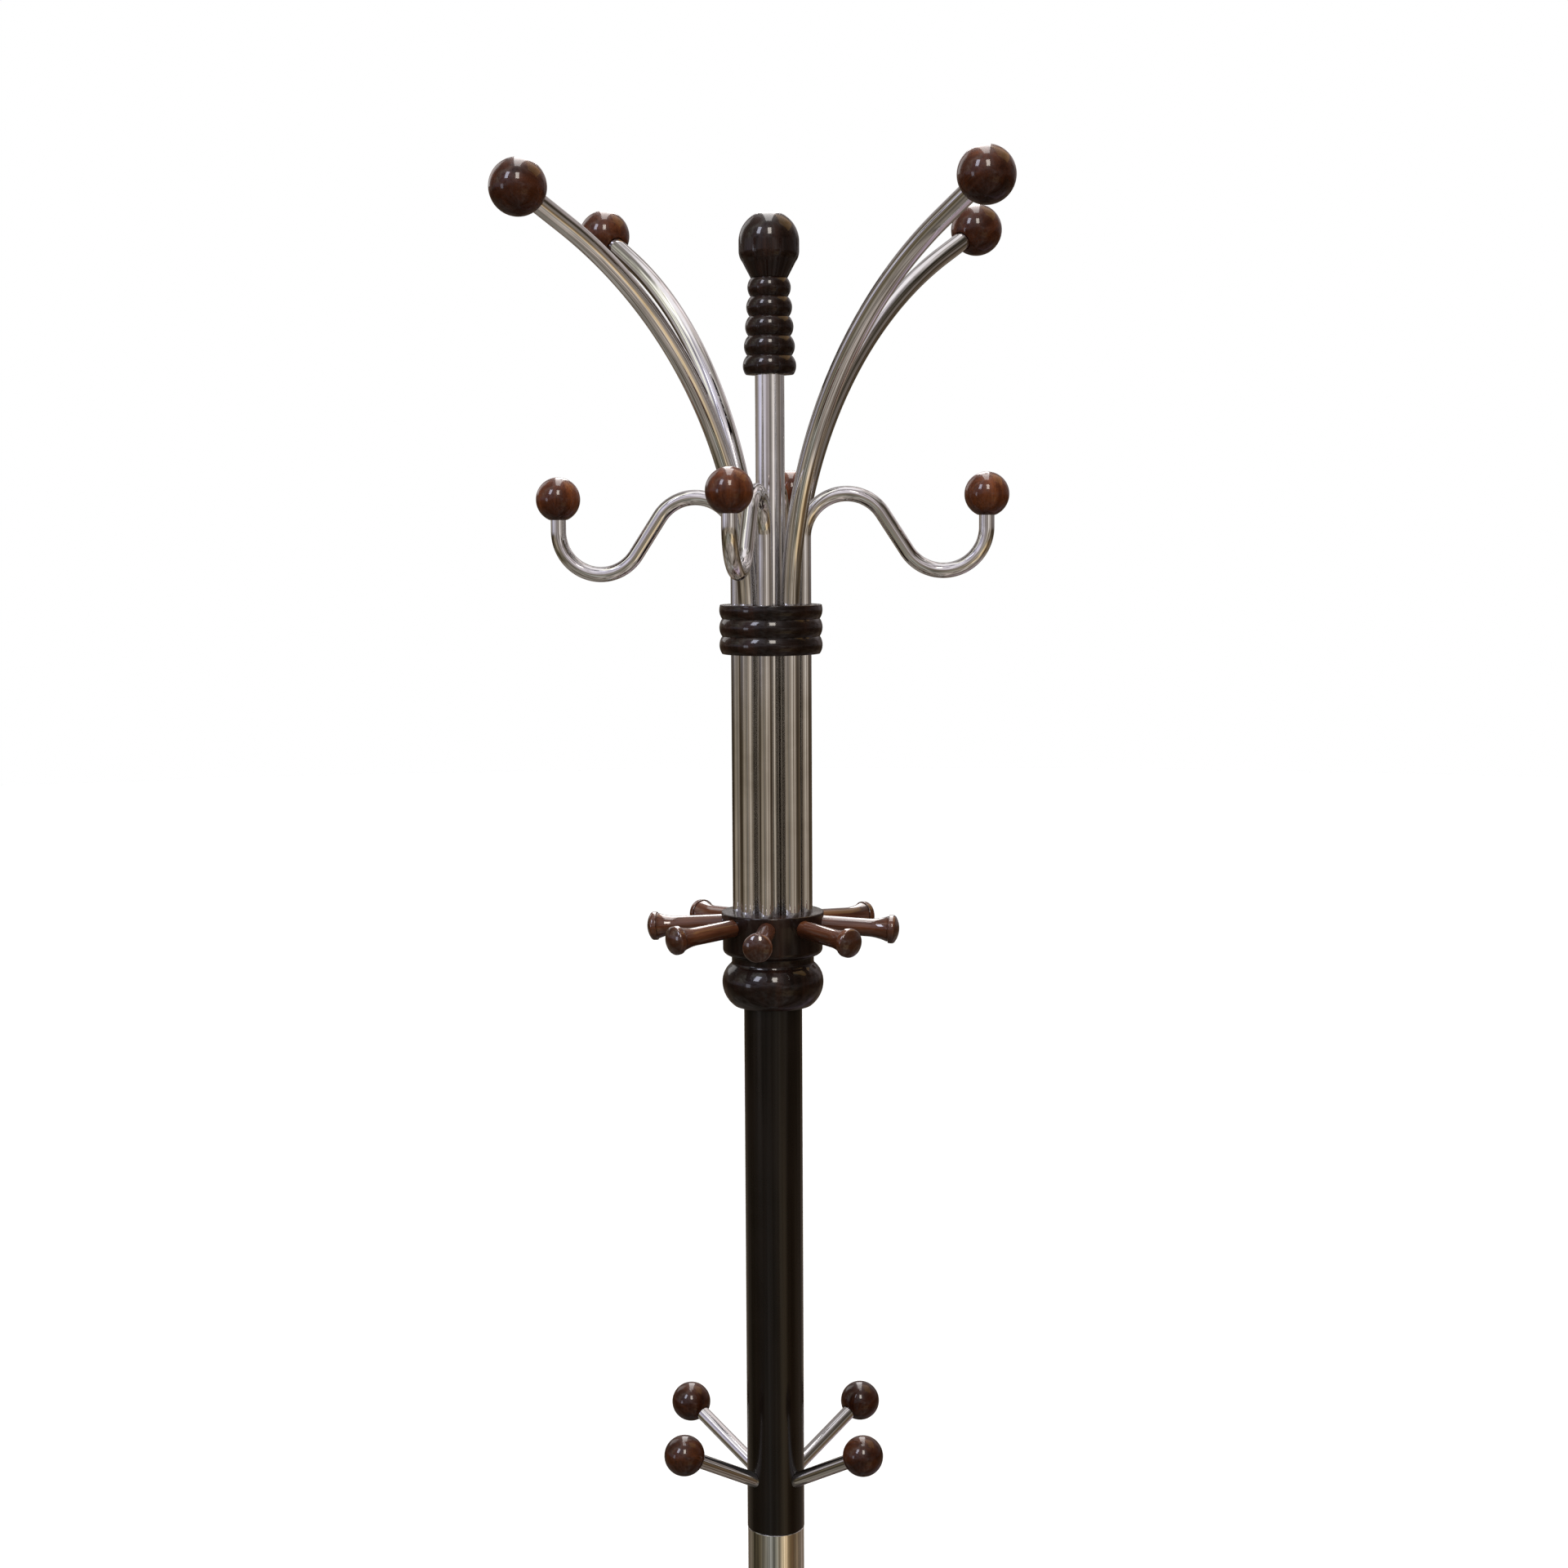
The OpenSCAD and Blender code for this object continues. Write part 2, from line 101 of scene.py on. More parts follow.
def smooth(me):
    """Smooth shading with sharp edges."""
    for p in me.polygons:
        p.use_smooth = True
    me.set_sharp_from_angle(angle=SHARP_ANGLE)


def finish_mesh(bm, name):
    bmesh.ops.remove_doubles(bm, verts=bm.verts, dist=MERGE_DISTANCE)
    bmesh.ops.recalc_face_normals(bm, faces=bm.faces)
    me = bpy.data.meshes.new(name)
    bm.to_mesh(me)
    bm.free()
    smooth(me)
    ob = bpy.data.objects.new(name, me)
    scene.collection.objects.link(ob)
    return ob


def add_lathe(bm, outline, seg, closed, at=Matrix.Identity(4)):
    """Turns an outline in millimetres about Z. A closed outline is a ring's section."""
    rings = []
    for r, z in outline:
        if r < ON_AXIS:
            rings.append([bm.verts.new(at @ Vector((0, 0, z * MM)))])
            continue
        ring = []
        for k in range(seg):
            a = 2 * math.pi * k / seg
            p = Vector((r * math.cos(a) * MM, r * math.sin(a) * MM, z * MM))
            ring.append(bm.verts.new(at @ p))
        rings.append(ring)
    pairs = list(zip(rings, rings[1:]))
    if closed:
        pairs.append((rings[-1], rings[0]))
    for a, b in pairs:
        for k in range(seg):
            n = (k + 1) % seg
            if len(a) == 1 and len(b) == 1:
                break
            if len(a) == 1:
                bm.faces.new((a[0], b[k], b[n]))
            elif len(b) == 1:
                bm.faces.new((a[k], b[0], a[n]))
            else:
                bm.faces.new((a[k], b[k], b[n], a[n]))


def lathe(name, outline, seg=128, closed=False):
    bm = bmesh.new()
    add_lathe(bm, outline, seg, closed)
    return finish_mesh(bm, name)


def sweep(name, path, radius, seg):
    """A round bar along a path in the XZ plane.

    The path holds (x, z, angle from +Z towards +X), in millimetres and degrees.
    """
    bm = bmesh.new()
    rings = []
    for x, z, a in path:
        a = math.radians(a)
        side = Vector((math.cos(a), 0, -math.sin(a)))
        ring = []
        for k in range(seg):
            t = 2 * math.pi * k / seg
            p = Vector((x, radius * math.sin(t), z)) + side * (radius * math.cos(t))
            ring.append(bm.verts.new(p * MM))
        rings.append(ring)
    for a, b in zip(rings, rings[1:]):
        for k in range(seg):
            n = (k + 1) % seg
            bm.faces.new((a[k], a[n], b[n], b[k]))
    bm.faces.new(rings[0][::-1])
    bm.faces.new(rings[-1])
    return finish_mesh(bm, name)


def drill(ob, cutters):
    """Cuts round holes. A cutter is (matrix, radius, length), and runs along the matrix's Z."""
    hole_seg = 64
    bm = bmesh.new()
    for at, radius, length in cutters:
        add_lathe(bm, [(0, 0), (radius, 0), (radius, length), (0, length)], hole_seg, False, at)
    tool = finish_mesh(bm, ob.name + "_tool")
    mod = ob.modifiers.new("holes", "BOOLEAN")
    mod.operation = "DIFFERENCE"
    mod.solver = "EXACT"
    mod.object = tool
    bpy.context.view_layer.update()
    cut = bpy.data.meshes.new_from_object(ob.evaluated_get(bpy.context.evaluated_depsgraph_get()))
    ob.modifiers.clear()
    ob.data = cut
    smooth(cut)
    bpy.data.objects.remove(tool)


def shift_grain(ob):
    """Moves the mesh against its object, so that the grain differs from piece to piece."""
    offset = [rng.uniform(-GRAIN_SHIFT, GRAIN_SHIFT) for _ in range(3)]
    ob.data.transform(Matrix.Translation(offset))
    ob.matrix_world = ob.matrix_world @ Matrix.Translation(-Vector(offset))


def bearing(b):
    """Turns +X to a bearing: 0 points along -Y, and a positive bearing turns towards +X."""
    return Matrix.Rotation(math.radians(b - 90), 4, "Z")


def move(x, y, z):
    return Matrix.Translation(Vector((x, y, z)) * MM)


def tilt(a):
    """Turns +Z towards +X by a degrees."""
    return Matrix.Rotation(math.radians(a), 4, "Y")


def piece(ob, material, slot, *nodes, at=None):
    """Places a piece, gives it its material, and lets it stand for its CAD nodes."""
    if at is not None:
        ob.matrix_world = at
    shift_grain(ob)
    ob.data.materials.clear()
    ob.data.materials.append(material)
    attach(ob, "root")
    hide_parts(*nodes)


# ---------- materials ----------

class Nodes:
    """Short names for building a node tree."""

    def __init__(self, tree):
        self.tree = tree

    def add(self, kind, **values):
        node = self.tree.nodes.new(kind)
        for key, value in values.items():
            if key.startswith("in_"):
                node.inputs[key[3:].replace("_", " ")].default_value = value
            else:
                setattr(node, key, value)
        return node

    def link(self, a, b):
        self.tree.links.new(a, b)

    def coords(self, scale):
        texco = self.add("ShaderNodeTexCoord")
        mapping = self.add("ShaderNodeMapping")
        mapping.inputs["Scale"].default_value = scale
        self.link(texco.outputs["Object"], mapping.inputs["Vector"])
        return mapping.outputs["Vector"]

    def noise(self, vector, scale, detail=4.0, roughness=0.55, distortion=0.0):
        n = self.add("ShaderNodeTexNoise", in_Scale=scale, in_Detail=detail, in_Roughness=roughness,
                     in_Distortion=distortion)
        self.link(vector, n.inputs["Vector"])
        return n.outputs["Fac"]

    def ramp(self, fac, stops, interpolation="LINEAR"):
        r = self.add("ShaderNodeValToRGB")
        r.color_ramp.interpolation = interpolation
        elements = r.color_ramp.elements
        while len(elements) < len(stops):
            elements.new(0.5)
        for e, (pos, color) in zip(elements, stops):
            e.position = pos
            e.color = (*color, 1.0)
        self.link(fac, r.inputs["Fac"])
        return r.outputs["Color"]

    def span(self, value, lo, hi, to_lo, to_hi):
        m = self.add("ShaderNodeMapRange")
        for key, v in (("From Min", lo), ("From Max", hi), ("To Min", to_lo), ("To Max", to_hi)):
            m.inputs[key].default_value = v
        self.link(value, m.inputs["Value"])
        return m.outputs["Result"]

    def mix(self, fac, a, b, blend="MIX"):
        m = self.add("ShaderNodeMix", data_type="RGBA", blend_type=blend)
        for source, socket in ((fac, m.inputs[0]), (a, m.inputs[6]), (b, m.inputs[7])):
            if isinstance(source, (int, float)):
                socket.default_value = source
            elif isinstance(source, tuple):
                socket.default_value = (*source, 1.0)
            else:
                self.link(source, socket)
        return m.outputs[2]

    def math(self, op, a, b=0.0):
        m = self.add("ShaderNodeMath", operation=op)
        for source, socket in ((a, m.inputs[0]), (b, m.inputs[1])):
            if isinstance(source, (int, float)):
                socket.default_value = source
            else:
                self.link(source, socket)
        return m.outputs["Value"]

    def bump(self, height, strength, distance, normal=None):
        b = self.add("ShaderNodeBump", in_Strength=strength, in_Distance=distance)
        self.link(height, b.inputs["Height"])
        if normal is not None:
            self.link(normal, b.inputs["Normal"])
        return b.outputs["Normal"]


def new_material(name):
    mat = bpy.data.materials.new(name)
    mat.use_nodes = True
    n = Nodes(mat.node_tree)
    shader = mat.node_tree.nodes["Principled BSDF"]
    return mat, n, shader


def wood(name, dark, mid, light, coat=0.5, painted_end_shade=0.0):
    """Stained wood with streaks and pores along its own Z, under a gloss lacquer with orange peel.

    Rims are worn to the light tone. The faces across the grain carry painted shade: they are
    darkened towards the dark tone by the share that the last argument gives.
    """
    wear = 0.3
    mat, n, shader = new_material(name)
    even = n.coords((1, 1, 1))
    streaks = n.noise(n.coords((1.0, 1.0, 0.07)), 240.0, 6.0, 0.6, 0.3)
    bands = n.noise(n.coords((1.0, 1.0, 0.2)), 46.0, 2.0, 0.5, 0.8)
    clouds = n.noise(even, 30.0, 2.0, 0.5)
    pores = n.noise(n.coords((1.0, 1.0, 0.05)), 1500.0, 2.0, 0.5)
    grain = n.math("ADD", n.math("MULTIPLY", streaks, 0.35), n.math("MULTIPLY", bands, 0.4))
    grain = n.math("ADD", grain, n.math("MULTIPLY", clouds, 0.25))
    colour = n.ramp(grain, [(0.36, dark), (0.5, mid), (0.64, light)])
    pore_mask = n.span(pores, 0.58, 0.68, 0.0, 0.5)
    colour = n.mix(pore_mask, colour, dark)
    geometry = n.add("ShaderNodeNewGeometry")
    edge = n.span(geometry.outputs["Pointiness"], 0.52, 0.60, 0.0, wear)
    edge = n.math("MULTIPLY", edge, n.span(n.noise(even, 90.0, 5.0), 0.35, 0.65, 0.2, 1.0))
    colour = n.mix(edge, colour, light)
    # Painted shade: faces across the grain, such as the pegs' end faces, are darkened towards the
    # dark tone
    facing = n.add("ShaderNodeSeparateXYZ")
    n.link(n.add("ShaderNodeTexCoord").outputs["Normal"], facing.inputs["Vector"])
    ends = n.span(n.math("ABSOLUTE", facing.outputs["Z"]), 0.45, 0.85, 0.0, painted_end_shade)
    colour = n.mix(ends, colour, dark)
    n.link(colour, shader.inputs["Base Color"])
    n.link(n.span(streaks, 0.3, 0.7, 0.38, 0.5), shader.inputs["Roughness"])
    relief = n.math("SUBTRACT", streaks, n.math("MULTIPLY", pore_mask, 0.8))
    n.link(n.bump(relief, 0.25, 0.00012), shader.inputs["Normal"])
    n.link(n.bump(n.noise(even, 150.0, 2.0, 0.5), 0.10, 0.0002), shader.inputs["Coat Normal"])
    shader.inputs["Coat Weight"].default_value = coat
    shader.inputs["Coat Roughness"].default_value = 0.08
    shader.inputs["Coat IOR"].default_value = 1.48
    shader.inputs["Specular IOR Level"].default_value = 0.06
    return mat


def chrome(name):
    """Polished plating with faint haze, finger marks, hairlines and the slow ripple of drawn tube."""
    dull, bright = (0.66, 0.65, 0.635), (0.78, 0.775, 0.77)
    mat, n, shader = new_material(name)
    plain = n.coords((1, 1, 1))
    haze = n.noise(plain, 24.0, 6.0, 0.6, 0.8)
    marks = n.noise(plain, 130.0, 5.0, 0.65, 0.4)
    hair = n.noise(n.coords((1.0, 1.0, 0.012)), 2600.0, 2.0)
    n.link(n.ramp(haze, [(0.35, dull), (0.62, bright)]), shader.inputs["Base Color"])
    shader.inputs["Metallic"].default_value = 1.0
    rough = n.math("ADD", n.span(haze, 0.35, 0.7, 0.03, 0.07), n.span(marks, 0.55, 0.72, 0.0, 0.05))
    n.link(n.math("ADD", rough, n.span(hair, 0.5, 0.8, 0.0, 0.04)), shader.inputs["Roughness"])
    ripple = n.noise(n.coords((1.0, 1.0, 0.35)), 34.0, 2.0, 0.4)
    base = n.bump(ripple, 0.16, 0.0012)
    n.link(n.bump(hair, 0.03, 0.00004, base), shader.inputs["Normal"])
    return mat


def lacquered_tube(name, dark, light):
    """Dark gloss lacquer sprayed on steel tube: fine flow lines, dust nibs and a little wear."""
    mat, n, shader = new_material(name)
    plain = n.coords((1, 1, 1))
    flow = n.noise(n.coords((1.0, 1.0, 0.05)), 300.0, 6.0, 0.6, 0.3)
    cloud = n.noise(plain, 18.0, 4.0, 0.55, 0.6)
    tone = n.math("ADD", n.math("MULTIPLY", flow, 0.55), n.math("MULTIPLY", cloud, 0.45))
    n.link(n.ramp(tone, [(0.36, dark), (0.64, light)]), shader.inputs["Base Color"])
    n.link(n.span(cloud, 0.3, 0.7, 0.22, 0.34), shader.inputs["Roughness"])
    nibs = n.span(n.noise(plain, 800.0, 1.0), 0.74, 0.8, 0.0, 1.0)
    n.link(n.bump(n.math("ADD", flow, nibs), 0.12, 0.0001), shader.inputs["Normal"])
    n.link(n.bump(n.noise(plain, 140.0, 3.0), 0.10, 0.0002), shader.inputs["Coat Normal"])
    shader.inputs["Coat Weight"].default_value = 0.5
    shader.inputs["Coat Roughness"].default_value = 0.12
    shader.inputs["Coat IOR"].default_value = 1.45
    shader.inputs["Specular IOR Level"].default_value = 0.15
    return mat


def stone(name):
    """Polished black granite: fine crystals of three sizes, and bright flecks."""
    black, grey, pale = (0.006, 0.006, 0.007), (0.022, 0.022, 0.024), (0.075, 0.075, 0.08)
    vein, fleck = (0.012, 0.012, 0.014), (0.28, 0.28, 0.29)
    mat, n, shader = new_material(name)
    plain = n.coords((1, 1, 1))
    cells = n.add("ShaderNodeTexVoronoi", in_Scale=420.0)
    n.link(plain, cells.inputs["Vector"])
    fine = n.noise(plain, 900.0, 3.0, 0.7)
    cloud = n.noise(plain, 9.0, 4.0)
    crystals = n.math("MULTIPLY", cells.outputs["Distance"], 0.5)
    tone = n.math("ADD", crystals, n.math("MULTIPLY", fine, 0.6))
    colour = n.ramp(tone, [(0.3, black), (0.52, grey), (0.68, pale)])
    colour = n.mix(n.span(cloud, 0.35, 0.65, 0.0, 0.35), colour, vein)
    flecks = n.span(n.noise(plain, 1700.0, 0.0), 0.76, 0.8, 0.0, 0.8)
    n.link(n.mix(flecks, colour, fleck), shader.inputs["Base Color"])
    n.link(n.span(fine, 0.3, 0.7, 0.09, 0.2), shader.inputs["Roughness"])
    n.link(n.bump(cells.outputs["Distance"], 0.03, 0.0001), shader.inputs["Normal"])
    return mat


def rubber(name):
    """Matt black rubber, greyed by dust."""
    clean, dusty = (0.018, 0.018, 0.018), (0.055, 0.052, 0.048)
    mat, n, shader = new_material(name)
    plain = n.coords((1, 1, 1))
    grit = n.noise(plain, 1600.0, 5.0, 0.7)
    dust = n.noise(plain, 60.0, 5.0, 0.6)
    n.link(n.mix(n.span(dust, 0.5, 0.75, 0.0, 0.5), clean, dusty), shader.inputs["Base Color"])
    n.link(n.span(grit, 0.3, 0.7, 0.68, 0.9), shader.inputs["Roughness"])
    n.link(n.bump(grit, 0.3, 0.0001), shader.inputs["Normal"])
    return mat


def turned_steel(name):
    """Bare steel with the fine rings of the lathe and a few stains."""
    stained, clean = (0.34, 0.34, 0.35), (0.52, 0.52, 0.53)
    mat, n, shader = new_material(name)
    rings = n.noise(n.coords((0.05, 0.05, 1.0)), 3000.0, 3.0)
    stain = n.noise(n.coords((1, 1, 1)), 70.0, 5.0)
    n.link(n.ramp(stain, [(0.35, stained), (0.65, clean)]), shader.inputs["Base Color"])
    shader.inputs["Metallic"].default_value = 1.0
    n.link(n.span(rings, 0.3, 0.7, 0.26, 0.42), shader.inputs["Roughness"])
    n.link(n.bump(rings, 0.2, 0.00006), shader.inputs["Normal"])
    return mat


# The dark, middle and light tone of each stain
DARK_TONES = ((0.005, 0.0018, 0.0010), (0.0145, 0.0051, 0.0027), (0.037, 0.0125, 0.0062))
PEG_TONES = ((0.034, 0.0095, 0.0036), (0.100, 0.0285, 0.0105), (0.20, 0.066, 0.025))
BALL_TONES = ((0.020, 0.0042, 0.0014), (0.066, 0.0158, 0.0047), (0.15, 0.040, 0.0105))


def ball_wood(name, painted_light_factor):
    """The balls' stain: the same red brown in every set, scaled per set as painted light (lighter) or
    painted shade (darker).
    """
    return wood(name, *(tuple(c * painted_light_factor for c in tone) for tone in BALL_TONES))


CHROME = chrome("chrome_plate")
DARK_WOOD = wood("dark_lacquered_wood", *DARK_TONES)
# The pegs' end faces carry painted shade
PEG_WOOD = wood("peg_lacquered_wood", *PEG_TONES, coat=1.0, painted_end_shade=0.7)

# Lit and shaded copies of one stain: the arm balls and hook balls carry painted light, the low balls
# painted shade
ARM_BALL_WOOD_PAINTED_LIGHT = ball_wood("arm_ball_wood_painted_light", 1.15)
HOOK_BALL_WOOD_PAINTED_LIGHT = ball_wood("hook_ball_wood_painted_light", 1.55)
LOW_BALL_WOOD_PAINTED_SHADE = ball_wood("low_ball_wood_painted_shade", 0.58)
TUBE_LACQUER = lacquered_tube("tube_lacquer", (0.0035, 0.0018, 0.0010), (0.0085, 0.0046, 0.0028))
STONE = stone("black_granite")
RUBBER = rubber("foot_rubber")
STEEL = turned_steel("turned_steel")


# ---------- sizes shared with the CAD, in millimetres ----------

ARM_BEARINGS = (-53, 42, 130, 218)
HOOK_BEARINGS = (-10, 87, 174, 263)
LOW_BEARINGS = (-50.5, 47.5, 130.5, 229)
PEG_BEARINGS = tuple(-7 + 45 * i for i in range(8))
ARM_EXTRA = (0, 4, 0, 0)
HOOK_EXTRA = (2, 0.5, 4.5, -1.5)
ARM_D, HOOK_D, LOW_D, CENTRE_D, PEG_D = 12.5, 10.0, 9.5, 19.0, 11.8
ARM_BALL_D, HOOK_BALL_D, LOW_BALL_D = 35, 29, 26.5
POLE_R, UPPER_POLE_R, WALL = 19.0, 19.25, 1.2
ARM_R, HOOK_R = 18.5, 21.4
ARM_BEND, ARM_BEND_R, ARM_BEND_DROP, ARM_TAIL = 59, 282, 8, 37
HOOK_TURN, HOOK_BEND_R, HOOK_RISE, HOOK_FALL, HOOK_TAIL = 147, 28, 43, 29, 21
DRUM_R, PEG_REACH, PEG_DROOP, PEG_DROP, TENON_L = 33.8, 83.5, 3.4, 8.5, 6.0
LOW_BALL_R, LOW_FOOT_R, LOW_TILT, LOW_BALL_RISE = 77.5, 9, 28.5, 68.5
SLIP, SEAT = 0.15, 0.1
BALL_SOCKET, BALL_SCREW_R, BALL_SCREW_L = 7.0, 3.0, 13.0
STUD_R = 5.0
OVER = 1  # length that a cutting shape runs past the piece it cuts


def z_range(node):
    """The lowest and highest point of a CAD node, in millimetres."""
    lo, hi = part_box(node)
    return lo.z / MM, hi.z / MM


hub_lo, hub_hi = z_range("peg_hub")
collar_lo, collar_hi = z_range("upper_collar")
finial_lo = z_range("finial")[0]
socket_lo = z_range("centre_pole")[0]


def bundle_holes(z, length):
    """Cutters for the centre pole, the arms and the S hooks, from z up."""
    holes = [(move(0, 0, z), CENTRE_D / 2 + SLIP, length)]
    for b in ARM_BEARINGS:
        holes.append((bearing(b) @ move(ARM_R, 0, z), ARM_D / 2 + SLIP, length))
    for b in HOOK_BEARINGS:
        holes.append((bearing(b) @ move(HOOK_R, 0, z), HOOK_D / 2 + SLIP, length))
    return holes


# ---------- finial ----------

def finial_outline():
    """A socket and a screw hole inside, and five tapering ribs, a cone and an acorn outside."""
    acorn_r, acorn_z, edge_r, edge_z = 19.5, 84.3, 12, 78.5
    grip_r, taper, rib_count, rib_r, rib_pitch, rib_foot = 17.25, 0.82, 5, 9.4, 12.45, 5.5
    bore, bore_h, screw_r, screw_h = CENTRE_D / 2 + SLIP, 12.1, 4.15, 30.2
    neck, cone_top = (12.0, 61.6), (17.9, 72.9)
    out = [(0, screw_h), (screw_r, screw_h), (screw_r, bore_h), (bore, bore_h)]
    out += [(bore, 0.4), (bore + 0.4, 0)]
    ribs = [(grip_r - taper * i - rib_r, rib_foot + rib_pitch * i) for i in range(rib_count)]
    foot = math.degrees(math.asin((rib_foot - 0.4) / rib_r))
    out += [(ribs[0][0] + rib_r * math.cos(math.radians(foot)) - 0.4, 0)]
    below = foot
    for i, (cx, cz) in enumerate(ribs):
        above, start = 42.0, -below
        if i < rib_count - 1:
            nx, nz = ribs[i + 1]
            lean = math.degrees(math.atan2(cx - nx, nz - cz))
            half = math.degrees(math.acos(math.hypot(nx - cx, nz - cz) / 2 / rib_r))
            above, below = 90 + lean - half, 90 - lean - half
        out += arc(cx, cz, rib_r, start + 0.4, above - 0.4, 20)
    out += line(neck, cone_top, 10)
    out += arc(acorn_r - edge_r, edge_z, edge_r, -27.3, 0, 10)
    out += arc(0, acorn_z, acorn_r, 0, 90, 34)
    return out[:-1] + [(0, acorn_z + acorn_r)]


finial = lathe("finial_turned", finial_outline())
piece(finial, DARK_WOOD, "dark_wood", "finial", at=move(0, 0, finial_lo))


# ---------- collars and hub ----------

def ring_outline(bore_r, outer, height):
    """Closes a collar's outline: its outer face from the bottom up, and a bore inside."""
    edge = 0.3
    out = [(bore_r, edge), (bore_r + edge, 0)] + outer
    return out + [(bore_r + edge, height), (bore_r, height - edge)]


ROLL_COUNT, COLLAR_R, COLLAR_PITCH, COLLAR_ROLL_R = 3, 33.7, 11.4, 10.0
FOOT_COLLAR_R, FOOT_ROLL_R = 30.0, 5.6

collar_h = collar_hi - collar_lo
rim_r = 0.6
collar_outer = rolls(ROLL_COUNT, COLLAR_PITCH, COLLAR_R, COLLAR_ROLL_R)
collar_outer = [p for p in collar_outer if p[1] < collar_h - rim_r]
collar_outer += arc(collar_outer[-1][0] - 0.55, collar_h - rim_r, rim_r, 10, 80, 5)
collar = lathe("upper_collar_turned", [(0, 0)] + collar_outer + [(0, collar_h)])
collar.data.transform(move(0, 0, collar_lo))
drill(collar, bundle_holes(collar_lo - OVER, collar_h + 2 * OVER))
piece(collar, DARK_WOOD, "dark_wood", "upper_collar")


def hub_outline(h):
    """A bulb of two curves, a hollow fillet, a neck, and a drum that widens slightly to its rim."""
    bulb_r, bulb_z, low_r, high_r = 33.5, 15.6, 19.5, 15.5
    neck_r, fillet_r, drum_foot, edge_r = 27.2, 3.0, 34.0, 4.0
    waist_r, waist_z, rim_r, hollow_r = 33.0, 44.5, 0.8, 1.2
    fillet_x = neck_r + fillet_r
    reach = fillet_x - (bulb_r - high_r)
    fillet_a = math.degrees(math.acos(reach / (high_r + fillet_r)))
    fillet_z = bulb_z + (high_r + fillet_r) * math.sin(math.radians(fillet_a))
    foot = math.degrees(math.asin(bulb_z / low_r))
    out = [(0, 0)] + arc(bulb_r - low_r, bulb_z, low_r, -foot, 0, 30)
    out += arc(bulb_r - high_r, bulb_z, high_r, 0, fillet_a, 30)[1:]
    out += arc(fillet_x, fillet_z, fillet_r, 180 + fillet_a, 180, 12)[1:]
    hollow_z = drum_foot - hollow_r
    out += [(neck_r, hollow_z)] + arc(neck_r + hollow_r, hollow_z, hollow_r, 160, 90, 5)
    out += arc(waist_r - edge_r, drum_foot + edge_r, edge_r, -88, 0, 12)
    out += line((waist_r, drum_foot + edge_r + 0.4), (waist_r, waist_z), 2)
    out += line((waist_r, waist_z), (DRUM_R - 0.05, h - 1.4), 3)
    out += arc(DRUM_R - rim_r, h - rim_r, rim_r, 0, 90, 5)
    return out + [(0, h)]


def peg_place(b):
    """The bottom of a peg's hole, with +Z running out along the peg."""
    return bearing(b) @ move(DRUM_R, 0, peg_z) @ tilt(90 + PEG_DROOP) @ move(0, 0, -TENON_L)


peg_z = hub_hi - PEG_DROP
peg_hole_l = 20
hub = lathe("peg_hub_turned", hub_outline(hub_hi - hub_lo), 160)
hub.data.transform(move(0, 0, hub_lo))
hub_holes = bundle_holes(socket_lo, hub_hi - socket_lo + OVER)
hub_holes.append((move(0, 0, hub_lo - OVER), STUD_R + SLIP, hub_hi - hub_lo))
for b in PEG_BEARINGS:
    hub_holes.append((peg_place(b), PEG_D / 2 + SLIP, peg_hole_l))
drill(hub, hub_holes)
piece(hub, DARK_WOOD, "dark_wood", "peg_hub")

foot_lo, foot_hi = z_range("foot_collar")
foot_h = foot_hi - foot_lo
foot_rolls = rolls(ROLL_COUNT, foot_h / ROLL_COUNT, FOOT_COLLAR_R, FOOT_ROLL_R)
foot_outline = ring_outline(POLE_R + SLIP, foot_rolls, foot_h)
foot_collar = lathe("foot_collar_turned", foot_outline, closed=True)
piece(foot_collar, DARK_WOOD, "dark_wood", "foot_collar", at=move(0, 0, foot_lo))


# ---------- pegs ----------

def peg_outline():
    """A plain shaft, a flare, a narrow groove, and a head with a rounded rim and a domed face."""
    length = (PEG_REACH - DRUM_R) / math.cos(math.radians(PEG_DROOP)) + TENON_L - SEAT
    shaft_r, head_r, rim_r, dome_r, flare_r = PEG_D / 2, 9.4, 2.4, 15.2, 34.0
    dome_h, flare_l, groove, flare_steps = 4.2, 16.2, 1.0, 22
    rim_z = length - dome_h
    flare_z = rim_z - flare_l
    neck_r = head_r - groove
    end = math.degrees(math.acos((shaft_r + flare_r - neck_r) / flare_r))
    out = [(0, 0), (shaft_r - 0.2, 0), (shaft_r, 0.2)]
    out += line((shaft_r, TENON_L), (shaft_r, flare_z), 6)
    for k in range(flare_steps + 1):
        a = math.radians(end * k / flare_steps)
        out.append((shaft_r + flare_r * (1 - math.cos(a)), flare_z + flare_r * math.sin(a)))
    x, z = out[-1]
    out += [(x - 0.25, z + 0.3), (x - 0.1, z + 0.7)]
    out += arc(head_r - 0.7, z + 1.5, 0.7, -60, 0, 5)
    split = math.degrees(math.acos((head_r - rim_r) / (dome_r - rim_r)))
    out += arc(head_r - rim_r, rim_z, rim_r, 0, split, 12)
    dome_z = rim_z - (dome_r - rim_r) * math.sin(math.radians(split))
    out += arc(0, dome_z, dome_r, split, 90, 14)[1:]
    return out[:-1] + [(0, out[-1][1])]


for i, b in enumerate(PEG_BEARINGS, 1):
    peg = lathe(f"peg_{i}_turned", peg_outline(), 80)
    piece(peg, PEG_WOOD, "peg_wood", f"peg_{i}", at=peg_place(b) @ move(0, 0, SEAT))


# ---------- balls ----------

